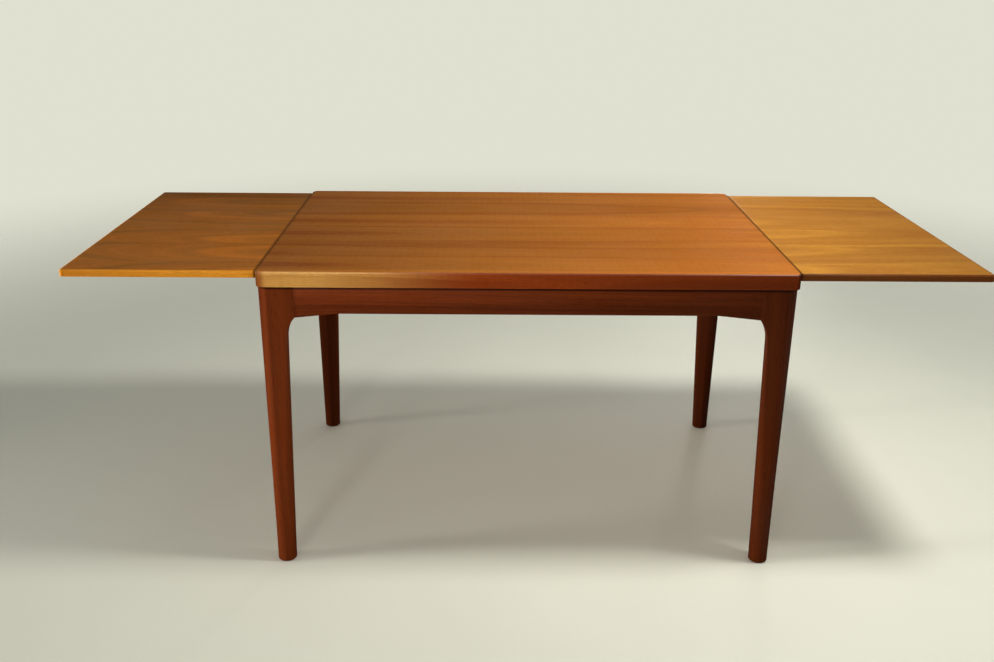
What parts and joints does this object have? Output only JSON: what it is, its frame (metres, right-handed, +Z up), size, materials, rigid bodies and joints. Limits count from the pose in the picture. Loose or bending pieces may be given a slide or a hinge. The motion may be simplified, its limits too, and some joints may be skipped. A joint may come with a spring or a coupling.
{
  "type": "draw leaf table",
  "caption": "Teak draw-leaf dining table: tapered round-footed legs, a loose lipped centre top, and end leaves that slide out on sloping runners.",
  "frame": {"origin": "on the floor, under the middle of the centre top", "axes": "+X along the table towards the right leaf, +Y to the back, +Z up"},
  "size_m": [2.066, 0.8, 0.74],
  "materials": {
    "teak_veneer": "satin oiled",
    "teak_lip": "satin oiled",
    "teak_frame": "satin oiled",
    "beech": "matt, unfinished",
    "steel": "zinc plated"
  },
  "bodies": {
    "frame": {"apron_back": "teak_frame", "apron_dowels": "beech", "apron_front": "teak_frame", "apron_left": "teak_frame", "apron_right": "teak_frame", "bearer_cleat_back": "beech", "bearer_cleat_front": "beech", "bearer_screws": "steel", "centre_bearer": "beech", "cleat_screws": "steel", "corner_block_back_left": "beech", "corner_block_back_right": "beech", "corner_block_front_left": "beech", "corner_block_front_right": "beech", "corner_block_screws": "steel", "guide_back_inner": "beech", "guide_back_middle": "beech", "guide_back_outer": "beech", "guide_front_inner": "beech", "guide_front_middle": "beech", "guide_front_outer": "beech", "guide_screws": "steel", "hanger_bolts": "steel", "hanger_nuts": "steel", "hanger_washers": "steel", "leg_back_left": "teak_frame", "leg_back_right": "teak_frame", "leg_front_left": "teak_frame", "leg_front_right": "teak_frame"},
    "leaf_left": {"leaf_left_lip_back": "teak_lip", "leaf_left_lip_front": "teak_lip", "leaf_left_lip_inner": "teak_lip", "leaf_left_lip_outer": "teak_lip", "leaf_left_panel": "teak_veneer", "runner_left_back": "beech", "runner_left_front": "beech", "runner_left_screws": "steel", "runner_left_stop_pegs": "beech"},
    "leaf_right": {"leaf_right_lip_back": "teak_lip", "leaf_right_lip_front": "teak_lip", "leaf_right_lip_inner": "teak_lip", "leaf_right_lip_outer": "teak_lip", "leaf_right_panel": "teak_veneer", "runner_right_back": "beech", "runner_right_front": "beech", "runner_right_screws": "steel", "runner_right_stop_pegs": "beech"},
    "centre_top": {"top_lip_back": "teak_lip", "top_lip_front": "teak_lip", "top_panel": "teak_veneer", "top_peg_back": "beech", "top_peg_front": "beech"}
  },
  "joints": [
    {"name": "leaf_left_slide", "type": "slide", "parent": "frame", "child": "leaf_left", "axis": [0.9996, 0, -0.0265], "range_m": [0, 0.43315]},
    {"name": "leaf_right_slide", "type": "slide", "parent": "frame", "child": "leaf_right", "axis": [-0.9996, 0, -0.0265], "range_m": [0, 0.43315]},
    {"name": "top_lift", "type": "slide", "parent": "frame", "child": "centre_top", "axis": [0, 0, 1], "range_m": [0, 0.025]}
  ]
}
